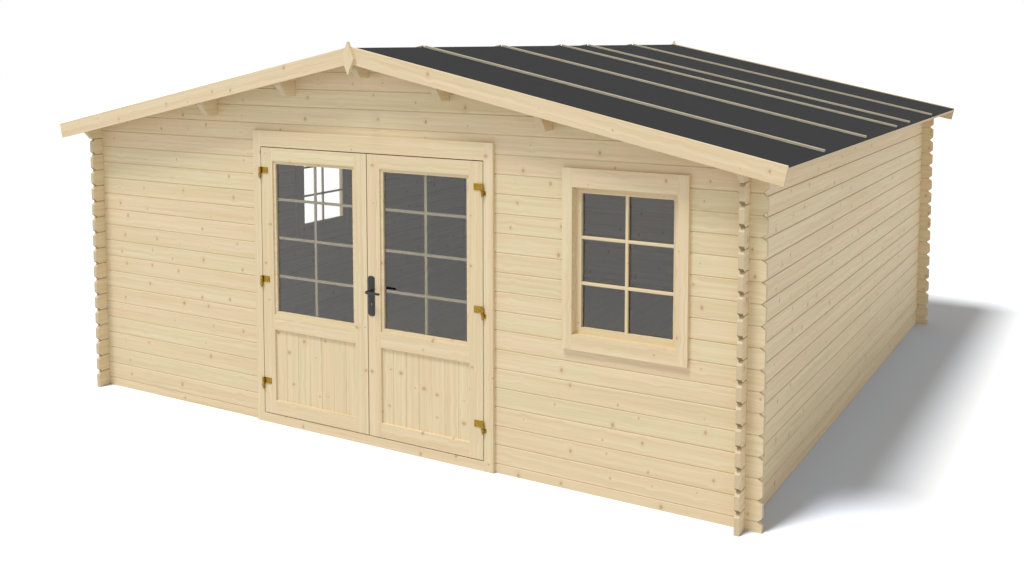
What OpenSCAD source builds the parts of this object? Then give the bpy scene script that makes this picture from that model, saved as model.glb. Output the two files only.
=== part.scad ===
// Log garden house: crossed log walls, felt roof on purlins, glazed double door and two fixed windows.
// Millimetres. The front faces -Y, the ground is z = 0 and the plan is centred on the origin.

/* [Log walls] */
// Width over the outer faces of the side walls
wall_w = 4820; // [4200:10:6000]
// Depth over the outer faces of the front and rear walls
wall_d = 4820; // [3600:10:6000]
// Thickness of a log
log_t = 28; // [26:1:60]
// Height of one log course
log_h = 113; // [105:1:130]
// Side wall courses over the first log that spans the door
over_courses = 1; // [1:1:4]
// Extra height of the bevelled top log of a side wall
top_rise = 12; // [4:1:30]
// Log ends past the corner
log_over = 90; // [60:1:130]
// Bevel on the long edges of a log
groove = 4.5; // [2:0.5:8]
// Length of the cut on a log's end corners
end_cut_l = 27; // [4:1:34]
// Height of the cut on a log's end corners
end_cut_h = 21; // [4:1:25]
// Side play of a crossing notch
notch_fit = 0.5; // [0.2:0.1:1]

/* [Roof] */
// Pitch of the roof in degrees
pitch = 12; // [8:0.5:20]
// Eave past the side wall, at the underside of the boards
eave_over = 228; // [150:1:350]
// Outer face of the barge boards past the front and rear walls
verge_over = 157; // [130:1:250]
// Thickness of the roof boards
board_t = 18; // [14:1:28]
// Thickness of the roofing felt
felt_t = 3; // [2:0.5:6]
// Thickness of a barge board
barge_t = 18; // [14:1:28]
// Width of a barge board
barge_w = 95; // [70:1:140]
// Open mitre between the two barge boards of a gable
mitre_gap = 2; // [1:0.5:6]
// Width of a felt batten
batten_w = 28; // [15:1:50]
// Thickness of a felt batten
batten_t = 12; // [6:1:25]
// Batten ends short of the eave
batten_end = 25; // [0:1:60]
// Play of a batten on the felt
batten_seat = 0.1; // [0.05:0.05:0.5]
// First batten, from the front wall
batten_1 = 620; // [500:10:800]
// Second batten, from the front wall
batten_2 = 1617; // [1400:10:1800]
// Third batten, from the front wall
batten_3 = 2558; // [2300:10:2700]
// Fourth batten, from the front wall
batten_4 = 3040; // [2900:10:3200]
// Fifth batten, from the front wall
batten_5 = 3964; // [3500:10:4200]
// Width of a finial
finial_w = 90; // [40:1:130]
// Thickness of a finial
finial_t = 22; // [10:1:30]
// Finial point over the roof's inner apex
finial_up = 58; // [30:1:120]
// Finial point under the roof's inner apex
finial_down = 140; // [100:1:200]

/* [Purlins] */
// Thickness of a purlin
purlin_t = 46; // [36:1:70]
// Height of a purlin
purlin_h = 160; // [110:1:180]
// Purlin's lower edge past the wall
purlin_over = 85; // [60:1:130]
// Inner purlin from the ridge
purlin_x1 = 585; // [450:5:750]
// Outer purlin from the ridge
purlin_x2 = 1265; // [1000:5:1500]
// Height of the slanted end cut
purlin_cut = 70; // [30:1:100]
// Side play of a purlin in its pocket
purlin_fit = 0.5; // [0.2:0.1:1]

/* [Floor] */
// Thickness of the floor boards
floor_t = 18; // [14:1:30]
// Height of the floor bearers
bearer_h = 38; // [28:1:60]
// Width of a floor bearer
bearer_w = 60; // [40:1:90]
// Number of floor bearers
bearer_n = 8; // [5:1:12]
// Gap between floor and wall
floor_gap = 5; // [2:1:15]

/* [Door frame] */
// Clear width between the door posts
door_w = 1700; // [1400:10:1900]
// Underside of the door head over the ground
door_h = 1827; // [1700:1:1850]
// Width of a post's cover strip
post_w = 62; // [54:1:90]
// Post wood between the opening and the log ends
post_web = 36; // [20:1:45]
// Height of the head's cover strip
head_h = 103; // [70:1:110]
// Head wood between the opening and the log over it
head_web = 37.5; // [20:0.5:60]
// Height of the sill
sill_h = 60; // [45:1:75]
// Thickness of a cover strip on a wall
trim_t = 22; // [15:1:30]
// Width of the stop behind the leaves
stop_w = 14; // [8:1:25]
// Gap between a leaf and its stop
stop_gap = 6; // [5:0.5:12]

/* [Door leaves] */
// Place of the line where the leaves meet, from the middle
meet_x = 12; // [-60:1:40]
// Gap where the leaves meet
meet_gap = 7; // [6:0.5:12]
// Gap between a leaf and the door frame
leaf_gap = 6; // [5:0.5:10]
// Thickness of a leaf
leaf_t = 42; // [34:1:50]
// Width of a stile
stile_w = 94; // [80:1:120]
// Height of the bottom rail
rail_low = 92; // [70:1:160]
// Underside of the middle rail over the ground
mid_z = 632; // [500:1:800]
// Height of the middle rail
mid_h = 99; // [70:1:140]
// Height of the top rail
rail_top = 84; // [60:1:140]
// Width of the glazing bead
bead_w = 20; // [10:1:30]
// Step from the leaf's face to the bead
bead_drop = 9; // [4:1:12]
// Thickness of the glass
glass_t = 4; // [3:0.5:8]
// Glass and panel edge held in the wood
edge_lap = 9; // [5:1:15]
// Front of the glass behind the leaf's face
glass_in = 22; // [14:1:26]
// Thickness of the lower panel
panel_t = 15; // [10:1:20]
// Front of the lower panel behind the leaf's face
panel_in = 13; // [8:1:16]

/* [Hinges] */
// Middle of the lowest hinge over the ground
hinge_z1 = 262; // [160:1:400]
// Middle of the middle hinge over the ground
hinge_z2 = 940; // [800:1:1100]
// Middle of the highest hinge under the door head
hinge_drop = 172; // [120:1:320]
// Radius of a hinge barrel
barrel_r = 8.5; // [6:0.5:12]
// Height of the upper barrel and of its plate
barrel_h = 38; // [25:1:60]
// Height of the lower tapered barrel
cone_h = 38; // [25:1:60]
// Radius of the hinge pin
pin_r = 4; // [3:0.5:5]
// Play of the pin in the barrel
pin_fit = 0.4; // [0.3:0.1:0.8]
// Width of the plate on the leaf
hinge_plate_w = 58; // [30:1:70]
// Thickness of the hinge plates
hinge_plate_t = 4; // [3:0.5:6]
// Axis of the hinges in front of the leaf's face
hinge_out = 10.5; // [10:0.5:14]

/* [Door handle] */
// Width of a lock plate
lock_w = 50; // [36:1:56]
// Height of a lock plate
lock_h = 250; // [180:1:300]
// Thickness of a lock plate
lock_t = 4; // [3:0.5:8]
// Middle of the lock plate over the ground
lock_z = 946; // [850:1:1050]
// Edge of the lock plate from the edge of the leaf
lock_edge = 2; // [1:1:20]
// Lever over the middle of the lock plate
lever_up = 34; // [10:1:70]
// Length of the lever from its spindle
lever_l = 100; // [70:1:120]
// Lever's middle in front of the lock plate
lever_out = 58; // [38:1:70]
// Radius of the lever
lever_r = 9; // [6:0.5:10]
// Radius of the spindle
spindle_r = 5; // [4:0.5:6]
// Play of the spindle
spindle_fit = 0.4; // [0.2:0.1:0.8]
// Radius of the keyhole
key_r = 5; // [3:0.5:7]
// Keyhole under the middle of the lock plate
key_down = 50; // [30:1:80]

/* [Windows] */
// Middle of the front window from the middle of the front wall
win_x = 1725; // [1500:5:1800]
// Middle of the side window from the middle of the left wall
side_win_y = 0; // [-600:10:600]
// Clear width inside the cover strips
win_w = 614; // [450:1:700]
// Top of the clear opening under the underside of the door head
win_drop = 113; // [60:1:200]
// Clear height inside the cover strips
win_h = 821; // [600:1:830]
// Width of the side cover strips
win_side = 62; // [45:1:90]
// Height of the upper cover strip
win_top = 105; // [70:1:130]
// Height of the lower cover strip
win_low = 85; // [70:1:120]
// Frame wood beside the opening
win_web = 20; // [12:1:40]
// Frame wood under the opening
win_web_low = 45.5; // [20:0.5:60]
// Frame wood over the opening
win_web_top = 37.5; // [20:0.5:60]
// Width of the sash wood
sash_w = 36; // [25:1:60]
// Thickness of the sash
sash_t = 30; // [26:1:45]
// Sash face behind the cover strip's face
sash_in = 45; // [35:1:50]
// Glass behind the sash face
sash_glass_in = 20; // [12:1:22]
// Thickness of the inner cover strips
inner_trim_t = 25; // [20:1:35]

/* [Hidden] */
$fn = 48;
half_w = wall_w / 2;
half_d = wall_d / 2;
front_y = -half_d;
notch = log_h / 4;
slope = tan(pitch);
door_cut_x = door_w / 2 + post_web;
door_cut_z = door_h + head_web;
// Whole courses beside the door, and the side wall that they give
door_courses = floor((door_cut_z - log_h / 2) / log_h + 0.001);
side_courses = ceil((door_cut_z - log_h / 2) / log_h - 0.001) + over_courses;
wall_top = side_courses * log_h + top_rise;
apex = wall_top + half_w * slope;
eave_x = half_w + eave_over;
roof_y = half_d + verge_over - barge_t;
roof_n = board_t + felt_t;
gable_n = round((apex - log_h / 2) / log_h);
floor_z = bearer_h + floor_t;
// Door sizes that follow from the frame
leaf_y = front_y - trim_t;
leaf_z0 = sill_h + leaf_gap;
leaf_z1 = door_h - leaf_gap;
leaf_out = door_w / 2 - leaf_gap;
left_in = meet_x - meet_gap / 2;
right_in = meet_x + meet_gap / 2;
pane_z0 = mid_z + mid_h;
pane_z1 = leaf_z1 - rail_top;
hinge_x = door_w / 2 - leaf_gap / 2;
hinge_y = leaf_y - hinge_out;
hinge_z = [hinge_z1, hinge_z2, door_h - hinge_drop];
lock_x = right_in + lock_edge + lock_w / 2;
lever_z = lock_z + lever_up;
// Lower edge of a window, and its depths from the wall's outer face
win_z = door_h - win_drop - win_h;
// Side wall courses lie half a log lower, and the side window with them
side_win_low = log_h / 2;
sash_y = sash_in - trim_t;
frame_y1 = max(sash_y + sash_t, log_t + inner_trim_t);
batten_y = [batten_1, batten_2, batten_3, batten_4, batten_5];

// Underside of the roof boards at a place across the house
function under(x) = apex - abs(x) * slope;
// Place across the house where the underside has a height
function under_x(z) = (apex - z) / slope;
// Points of the roof at a height n square to its underside
function eave_pt(n) = [eave_x + n * sin(pitch), under(eave_x) + n * cos(pitch)];
function ridge_pt(n, x = 0) = [x, under(x) + n / cos(pitch)];
// Lower edge of a front or rear course
function course_z(i) = log_h / 2 + i * log_h;
function flip(p) = [for (i = [len(p) - 1:-1:0]) [-p[i][0], p[i][1]]];

// Right-hand end of a log in elevation, from bottom to top, with its crossing notches
function log_end(half, z0, z1, low, high) = concat(
    low ? [[half - log_t - notch_fit, z0], [half - log_t - notch_fit, z0 + notch],
           [half + notch_fit, z0 + notch], [half + notch_fit, z0]] : [],
    [[half + log_over - end_cut_l, z0], [half + log_over, z0 + end_cut_h],
     [half + log_over, z1 - end_cut_h], [half + log_over - end_cut_l, z1]],
    high ? [[half + notch_fit, z1], [half + notch_fit, z1 - notch],
            [half - log_t - notch_fit, z1 - notch], [half - log_t - notch_fit, z1]] : []);
// End of the course that meets the roof at the wall corner
function shoulder_end(z0, z1) = [
    [half_w - log_t - notch_fit, z0], [half_w - log_t - notch_fit, z0 + notch],
    [half_w + notch_fit, z0 + notch], [half_w + notch_fit, z0],
    [half_w + log_over, z0], [half_w + log_over, under(half_w + log_over)], [under_x(z1), z1]];
function gable_end(z0, z1) = [[under_x(z0), z0], [under_x(z1), z1]];
// End of a front or rear course by its place in the stack
function course_end(i) =
    let (z0 = course_z(i), z1 = i == gable_n - 1 ? apex : z0 + log_h)
    i < side_courses - 1 ? log_end(half_w, z0, z1, true, true)
    : i == side_courses - 1 ? shoulder_end(z0, z1)
    : gable_end(z0, z1);

// A log lies along X with its outer face at y = 0; its outline is cut from the bevelled log profile
module log_bar(outline, z0, z1, top_out, top_in) {
    intersection() {
        translate([0, log_t, 0]) rotate([90, 0, 0]) linear_extrude(log_t) polygon(outline);
        translate([-wall_w - wall_d, 0, 0]) rotate([90, 0, 90]) linear_extrude(2 * (wall_w + wall_d))
            polygon(concat(
                [[groove, z0], [log_t - groove, z0], [log_t, z0 + groove]],
                top_in == undef
                    ? [[log_t, z1 - groove], [log_t - groove, z1], [groove, z1], [0, z1 - groove]]
                    : [[log_t, top_in], [0, top_out]],
                [[0, z0 + groove]]));
    }
}
module to_front() {
    translate([0, front_y, 0]) children();
}
module to_rear() {
    rotate([0, 0, 180]) to_front() children();
}
module to_left() {
    translate([-half_w, 0, 0]) rotate([0, 0, -90]) children();
}
module to_right() {
    translate([half_w, 0, 0]) rotate([0, 0, 90]) children();
}

// A whole course of a front or rear wall; course -1 is the half log on the ground
module course_log(i) {
    if (i < 0) {
        e = [[half_w + log_over, 0], [half_w + log_over, log_h / 2 - end_cut_h],
             [half_w + log_over - end_cut_l, log_h / 2], [half_w + notch_fit, log_h / 2],
             [half_w + notch_fit, log_h / 2 - notch], [half_w - log_t - notch_fit, log_h / 2 - notch],
             [half_w - log_t - notch_fit, log_h / 2]];
        log_bar(concat(e, flip(e)), -groove, log_h / 2);
    } else {
        e = course_end(i);
        z0 = course_z(i);
        z1 = z0 + log_h;
        if (i == gable_n - 1)
            log_bar([[under_x(z0), z0], [0, apex], [-under_x(z0), z0]], z0, apex + log_h);
        else
            log_bar(concat(e, flip(e)), z0, z1);
    }
}
// Pockets through a gable for the purlins
module purlin_pockets() {
    for (x = [0, purlin_x1, -purlin_x1, purlin_x2, -purlin_x2])
        translate([x - purlin_t / 2 - purlin_fit, -1, under(x) - purlin_h])
            cube([purlin_t + 2 * purlin_fit, log_t + 2, purlin_h + log_h]);
}
module door_cut() {
    translate([-door_cut_x, -1, -1]) cube([2 * door_cut_x, log_t + 2, door_cut_z + 1]);
}
module window_cut() {
    translate([-win_w / 2 - win_web, -1, win_z - win_web_low])
        cube([win_w + 2 * win_web, log_t + 2, win_h + win_web_low + win_web_top]);
}
// Front courses beside the door, one side at a time, every second course down from the door's top
module front_side(s, k) {
    color("#E2CCA2") to_front() for (i = [door_courses - 1 - k:-2:-1])
        difference() {
            course_log(i);
            translate([s > 0 ? -wall_w : -door_cut_x, -1, -1])
                cube([wall_w + door_cut_x, log_t + 2, apex + log_h]);
            if (s > 0) translate([win_x, 0, 0]) window_cut();
        }
}
module front_gable(k) {
    color("#DAC59B") to_front() for (i = [door_courses + k:2:gable_n - 1])
        difference() {
            course_log(i);
            purlin_pockets();
            if (course_z(i) < door_cut_z) door_cut();
            if (course_z(i) < win_z + win_h + win_web_top) translate([win_x, 0, 0]) window_cut();
        }
}
module rear_wall(k) {
    color("#D8C399") to_rear() for (i = [k - 1:2:gable_n - 1])
        if (i < side_courses - 1) course_log(i);
        else difference() {
            course_log(i);
            purlin_pockets();
        }
}
// A side wall course: whole logs from the ground, the top one bevelled to the roof
module side_log(i) {
    z0 = i * log_h;
    z1 = z0 + log_h;
    if (i == side_courses - 1) {
        top = wall_top + log_t * slope;
        reach = verge_over - barge_t - log_over;
        e = concat(
            [[half_d - log_t - notch_fit, z0], [half_d - log_t - notch_fit, z0 + notch],
             [half_d + notch_fit, z0 + notch], [half_d + notch_fit, z0], [half_d + log_over, z0],
             [half_d + log_over + reach, z0 + reach], [half_d + log_over + reach, top],
             [half_d + notch_fit, top], [half_d + notch_fit, z1 - notch],
             [half_d - log_t - notch_fit, z1 - notch], [half_d - log_t - notch_fit, top]]);
        log_bar(concat(e, flip(e)), z0, z1, wall_top, top);
    } else if (i == 0) {
        e = [[half_d - log_t - notch_fit, 0], [half_d - log_t - notch_fit, notch],
             [half_d + notch_fit, notch], [half_d + notch_fit, 0], [half_d + log_over, 0],
             [half_d + log_over, log_h - end_cut_h], [half_d + log_over - end_cut_l, log_h],
             [half_d + notch_fit, log_h], [half_d + notch_fit, log_h - notch],
             [half_d - log_t - notch_fit, log_h - notch], [half_d - log_t - notch_fit, log_h]];
        log_bar(concat(e, flip(e)), -groove, log_h);
    } else {
        e = log_end(half_d, z0, z1, true, true);
        log_bar(concat(e, flip(e)), z0, z1);
    }
}
module left_wall(k) {
    color("#DCC79E") to_left() for (i = [k:2:side_courses - 1])
        difference() {
            side_log(i);
            translate([-side_win_y, 0, -side_win_low]) window_cut();
        }
}
module right_wall(k) {
    color("#D6C096") to_right() for (i = [k:2:side_courses - 1]) side_log(i);
}

// Purlins run from barge to barge, with slanted ends and tops planed to the roof
module purlin(x) {
    z0 = under(x) - purlin_h;
    e = [[half_d + purlin_over, z0], [roof_y, z0 + purlin_cut], [roof_y, apex + 1]];
    intersection() {
        translate([x - purlin_t / 2, 0, 0]) rotate([90, 0, 90]) linear_extrude(purlin_t)
            polygon(concat(e, flip(e)));
        translate([0, 2 * roof_y, 0]) rotate([90, 0, 0]) linear_extrude(4 * roof_y)
            polygon([[-half_w, 0], [half_w, 0], [half_w, wall_top], [0, apex], [-half_w, wall_top]]);
    }
}
module ridge_purlin() {
    color("#D2BD93") purlin(0);
}
module side_purlins(s) {
    color("#D2BD93") for (x = [purlin_x1, purlin_x2]) purlin(s * x);
}

// A layer of one roof slope between two heights over the boards' underside
module roof_layer(s, n0, n1) {
    outline = [ridge_pt(n0), eave_pt(n0), eave_pt(n1), ridge_pt(n1)];
    mirror([s < 0 ? 1 : 0, 0, 0]) translate([0, roof_y, 0]) rotate([90, 0, 0])
        linear_extrude(2 * roof_y) polygon(outline);
}
module roof_boards(s) {
    color("#CDB88F") roof_layer(s, 0, board_t);
}
module roof_felt(s) {
    color("#434343") roof_layer(s, board_t, roof_n);
}
// Battens over the felt laps, on both slopes
module felt_battens() {
    n = roof_n + batten_seat;
    x = batten_t;
    stop = [batten_end * cos(pitch), -batten_end * slope * cos(pitch)];
    outline = [ridge_pt(n, x), eave_pt(n) - stop, eave_pt(n + batten_t) - stop, ridge_pt(n + batten_t, x)];
    color("#AAA08C") for (m = [0, 1], y = batten_y)
        mirror([m, 0, 0]) translate([0, front_y + y + batten_w / 2, 0]) rotate([90, 0, 0])
            linear_extrude(batten_w) polygon(outline);
}
// Barge boards of one gable, meeting in an open mitre
module barges() {
    g = mitre_gap / 2;
    outline = [ridge_pt(roof_n - barge_w, g), eave_pt(roof_n - barge_w), eave_pt(roof_n), ridge_pt(roof_n, g)];
    color("#DCC69A") for (m = [0, 1])
        mirror([m, 0, 0]) translate([0, -roof_y, 0]) rotate([90, 0, 0]) linear_extrude(barge_t) polygon(outline);
}
module rear_barges() {
    mirror([0, 1, 0]) barges();
}
module finials() {
    a = finial_w / 2;
    mid = apex + (finial_up - finial_down) / 2;
    color("#E4D0A6") for (m = [0, 1])
        mirror([0, m, 0]) translate([0, -roof_y - barge_t, 0]) rotate([90, 0, 0]) linear_extrude(finial_t)
            polygon([[0, apex - finial_down], [a, mid], [0, apex + finial_up], [-a, mid]]);
}

// Floor on bearers, between the walls
module floor_bearers() {
    l = wall_w - 2 * log_t - 2 * floor_gap;
    run = wall_d - 2 * log_t - 2 * floor_gap - bearer_w;
    color("#A8946C") for (i = [0:bearer_n - 1])
        translate([-l / 2, -run / 2 - bearer_w / 2 + i * run / (bearer_n - 1), 0]) cube([l, bearer_w, bearer_h]);
}
module floor_boards() {
    l = wall_w - 2 * log_t - 2 * floor_gap;
    d = wall_d - 2 * log_t - 2 * floor_gap;
    color("#CBB68D") translate([-l / 2, -d / 2, bearer_h]) cube([l, d, floor_t]);
}

// Door posts hold the log ends between an outer and an inner cover strip, with a stop for the leaves
module door_posts() {
    stop_y = -trim_t + leaf_t + stop_gap;
    color("#DCC49A") to_front() for (m = [0, 1]) mirror([m, 0, 0]) translate([door_w / 2, 0, 0]) union() {
        translate([0, -trim_t, 0]) cube([post_w, trim_t, door_h + head_h]);
        translate([0, -trim_t, 0]) cube([post_web, trim_t + log_t, door_cut_z]);
        translate([0, log_t - 1, floor_z]) cube([post_web, inner_trim_t + 1, door_cut_z - floor_z]);
        translate([0, log_t, floor_z]) cube([post_w, inner_trim_t, door_h + head_h - floor_z]);
        translate([-stop_w, stop_y, sill_h]) cube([stop_w + 1, log_t + inner_trim_t - stop_y, door_h - sill_h]);
    }
}
module door_head() {
    stop_y = -trim_t + leaf_t + stop_gap;
    w = door_w / 2;
    color("#DCC49A") to_front() union() {
        translate([-w, -trim_t, door_h]) cube([2 * w, trim_t, head_h]);
        translate([-w, -trim_t, door_h]) cube([2 * w, trim_t + log_t + inner_trim_t, head_web]);
        translate([-w, log_t, door_h]) cube([2 * w, inner_trim_t, head_h]);
        translate([-w + stop_w, stop_y, door_h - stop_w])
            cube([2 * w - 2 * stop_w, log_t + inner_trim_t - stop_y, stop_w + 1]);
    }
}
module door_sill() {
    color("#CDB488") to_front() translate([-door_w / 2, -trim_t, 0]) cube([door_w, trim_t + log_t, sill_h]);
}
// Lower hinge halves on the posts, each with the pin that carries a leaf
module hinge_pins() {
    color("#A8842F") for (m = [0, 1], z = hinge_z) mirror([m, 0, 0]) translate([hinge_x, hinge_y, z]) union() {
        translate([0, 0, -cone_h]) cylinder(r1 = 0.55 * barrel_r, r2 = barrel_r, h = cone_h - 1);
        translate([0, 0, -cone_h / 2]) cylinder(r = pin_r, h = cone_h / 2 + barrel_h - 8);
        translate([leaf_gap / 2, hinge_out - hinge_plate_t, -cone_h * 0.75])
            cube([2 * barrel_r, hinge_plate_t, cone_h * 0.75 - 5]);
        translate([0, 0, -cone_h * 0.75]) cube([leaf_gap / 2 + barrel_r, hinge_out, cone_h * 0.75 - 5]);
    }
}

// Stiles and rails of a leaf, with beads round the glass and grooves that hold glass and panel
module leaf_frame(x0, x1) {
    w = x1 - x0 - 2 * stile_w;
    h = pane_z1 - pane_z0;
    p0 = leaf_z0 + rail_low;
    difference() {
        translate([x0, leaf_y, leaf_z0]) cube([x1 - x0, leaf_t, leaf_z1 - leaf_z0]);
        translate([x0 + stile_w, leaf_y, pane_z0]) {
            translate([bead_w, -1, bead_w]) cube([w - 2 * bead_w, leaf_t + 2, h - 2 * bead_w]);
            translate([0, -1, 0]) cube([w, bead_drop + 1, h]);
            translate([0, leaf_t - bead_drop, 0]) cube([w, bead_drop + 1, h]);
            translate([bead_w - edge_lap, glass_in, bead_w - edge_lap])
                cube([w - 2 * (bead_w - edge_lap), glass_t, h - 2 * (bead_w - edge_lap)]);
        }
        translate([x0 + stile_w, leaf_y, p0]) {
            translate([0, -1, 0]) cube([w, leaf_t + 2, mid_z - p0]);
            translate([-edge_lap, panel_in, -edge_lap])
                cube([w + 2 * edge_lap, panel_t, mid_z - p0 + 2 * edge_lap]);
        }
    }
}
module leaf_panel(x0, x1) {
    p0 = leaf_z0 + rail_low;
    translate([x0 + stile_w - edge_lap, leaf_y + panel_in, p0 - edge_lap])
        cube([x1 - x0 - 2 * stile_w + 2 * edge_lap, panel_t, mid_z - p0 + 2 * edge_lap]);
}
module leaf_glass(x0, x1) {
    lap = bead_w - edge_lap;
    translate([x0 + stile_w + lap, leaf_y + glass_in, pane_z0 + lap])
        cube([x1 - x0 - 2 * stile_w - 2 * lap, glass_t, pane_z1 - pane_z0 - 2 * lap]);
}
// Upper hinge halves on a leaf: a plate and a capped barrel on the pin
module leaf_hinges(m) {
    color("#A8842F") for (z = hinge_z) mirror([m, 0, 0]) translate([hinge_x, hinge_y, z]) difference() {
        union() {
            cylinder(r = barrel_r, h = barrel_h);
            translate([-hinge_plate_w - leaf_gap / 2, hinge_out - hinge_plate_t, 0])
                cube([hinge_plate_w + leaf_gap / 2, hinge_plate_t, barrel_h]);
        }
        translate([0, 0, -1]) cylinder(r = pin_r + pin_fit, h = barrel_h - 3);
    }
}
module left_door_frame() {
    color("#DEC79D") leaf_frame(-leaf_out, left_in);
}
module left_door_panel() {
    color("#D8C298") leaf_panel(-leaf_out, left_in);
}
module left_door_glass() {
    color([0.6, 0.62, 0.62, 0.4]) leaf_glass(-leaf_out, left_in);
}
module right_door_frame() {
    color("#DEC79D") difference() {
        leaf_frame(right_in, leaf_out);
        translate([lock_x, leaf_y - 1, lever_z]) rotate([-90, 0, 0]) cylinder(r = spindle_r + spindle_fit, h = leaf_t + 2);
    }
}
module right_door_panel() {
    color("#D8C298") leaf_panel(right_in, leaf_out);
}
module right_door_glass() {
    color([0.6, 0.62, 0.62, 0.4]) leaf_glass(right_in, leaf_out);
}
// Long lock plates on both faces of the right leaf, with spindle hole and keyhole
module lock_plates() {
    c = lock_w / 3;
    a = lock_w / 2 - c;
    b = lock_h / 2 - c;
    outline = [for (q = [[1, 1, 0], [-1, 1, 90], [-1, -1, 180], [1, -1, 270]], v = [0:15:90])
        [q[0] * a + c * cos(q[2] + v), q[1] * b + c * sin(q[2] + v)]];
    color("#3C3C40") for (y = [leaf_y, leaf_y + leaf_t + lock_t]) translate([lock_x, y, lock_z]) difference() {
        rotate([90, 0, 0]) linear_extrude(lock_t) polygon(outline);
        translate([0, -lock_t - 1, lever_up]) rotate([-90, 0, 0])
            cylinder(r = spindle_r + spindle_fit, h = lock_t + 2);
        translate([0, -lock_t - 1, -key_down]) rotate([-90, 0, 0]) cylinder(r = key_r, h = lock_t + 2);
        translate([-key_r / 2, -lock_t - 1, -key_down - 3 * key_r]) cube([key_r, lock_t + 2, 3 * key_r]);
    }
}
// Lever and spindle: one rigid piece through the leaf, a lever on each side
module lever_handle() {
    y0 = leaf_y - lock_t;
    y1 = leaf_y + leaf_t + lock_t;
    color("#2E2E32") translate([lock_x, 0, lever_z]) union() {
        translate([0, y0 - lever_out, 0]) rotate([-90, 0, 0]) cylinder(r = spindle_r, h = y1 - y0 + 2 * lever_out);
        translate([0, y0 - lever_out, 0]) rotate([-90, 0, 0]) cylinder(r = lever_r + 1, h = lever_out - 0.6);
        translate([0, y1 + 0.6, 0]) rotate([-90, 0, 0]) cylinder(r = lever_r + 1, h = lever_out - 0.6);
        for (y = [y0 - lever_out, y1 + lever_out]) translate([0, y, 0]) {
            sphere(r = lever_r + 1);
            rotate([0, 90, 0]) cylinder(r1 = lever_r + 0.5, r2 = lever_r - 1, h = lever_l);
            translate([lever_l, 0, 0]) sphere(r = lever_r - 1);
        }
    }
}

// Fixed window in a log wall: cover strips outside and inside, lining between, sash and glass
module window_frame() {
    w = win_w / 2;
    union() {
        difference() {
            translate([-w - win_side, -trim_t, win_z - win_low])
                cube([win_w + 2 * win_side, trim_t, win_h + win_low + win_top]);
            translate([-w, -trim_t - 1, win_z]) cube([win_w, trim_t + 2, win_h]);
        }
        difference() {
            translate([-w - win_web, -1, win_z - win_web_low])
                cube([win_w + 2 * win_web, frame_y1 + 1, win_h + win_web_low + win_web_top]);
            translate([-w, -2, win_z]) cube([win_w, frame_y1 + 4, win_h]);
        }
        difference() {
            translate([-w - win_side, log_t, win_z - win_low])
                cube([win_w + 2 * win_side, inner_trim_t, win_h + win_low + win_top]);
            translate([-w, log_t - 1, win_z]) cube([win_w, inner_trim_t + 2, win_h]);
        }
    }
}
module window_sash() {
    w = win_w / 2;
    difference() {
        translate([-w, sash_y, win_z]) cube([win_w, sash_t, win_h]);
        translate([-w + sash_w, sash_y - 1, win_z + sash_w])
            cube([win_w - 2 * sash_w, sash_t + 2, win_h - 2 * sash_w]);
        translate([-w + sash_w - edge_lap, sash_y + sash_glass_in, win_z + sash_w - edge_lap])
            cube([win_w - 2 * (sash_w - edge_lap), glass_t, win_h - 2 * (sash_w - edge_lap)]);
    }
}
module window_glass() {
    lap = sash_w - edge_lap;
    translate([-win_w / 2 + lap, sash_y + sash_glass_in, win_z + lap])
        cube([win_w - 2 * lap, glass_t, win_h - 2 * lap]);
}
module at_front_window() {
    to_front() translate([win_x, 0, 0]) children();
}
module at_side_window() {
    to_left() translate([-side_win_y, 0, -side_win_low]) children();
}

floor_bearers();
floor_boards();
front_side(-1, 0);  // front_left_odd_logs
front_side(-1, 1);  // front_left_even_logs
front_side(1, 0);  // front_right_odd_logs
front_side(1, 1);  // front_right_even_logs
front_gable(0);  // front_gable_odd_logs
front_gable(1);  // front_gable_even_logs
rear_wall(0);  // rear_odd_logs
rear_wall(1);  // rear_even_logs
left_wall(0);  // left_wall_odd_logs
left_wall(1);  // left_wall_even_logs
right_wall(0);  // right_wall_odd_logs
right_wall(1);  // right_wall_even_logs
ridge_purlin();
side_purlins(-1);  // left_purlins
side_purlins(1);  // right_purlins
roof_boards(-1);  // left_roof_boards
roof_boards(1);  // right_roof_boards
roof_felt(-1);  // left_roof_felt
roof_felt(1);  // right_roof_felt
felt_battens();
barges();  // front_barge_boards
rear_barges();  // rear_barge_boards
finials();
door_posts();
door_head();
door_sill();
hinge_pins();
left_door_frame();
left_door_panel();
left_door_glass();
leaf_hinges(1);  // left_door_hinges
right_door_frame();
right_door_panel();
right_door_glass();
leaf_hinges(0);  // right_door_hinges
lock_plates();
lever_handle();
color("#E0CAA0") at_front_window() window_frame();  // front_window_frame
color("#DCC59A") at_front_window() window_sash();  // front_window_sash
color([0.6, 0.62, 0.62, 0.4]) at_front_window() window_glass();  // front_window_glass
color("#E0CAA0") at_side_window() window_frame();  // side_window_frame
color("#DCC59A") at_side_window() window_sash();  // side_window_sash
color([0.6, 0.62, 0.62, 0.4]) at_side_window() window_glass();  // side_window_glass
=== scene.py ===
"""Garden house of spruce logs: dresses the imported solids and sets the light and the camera."""

import math

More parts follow.
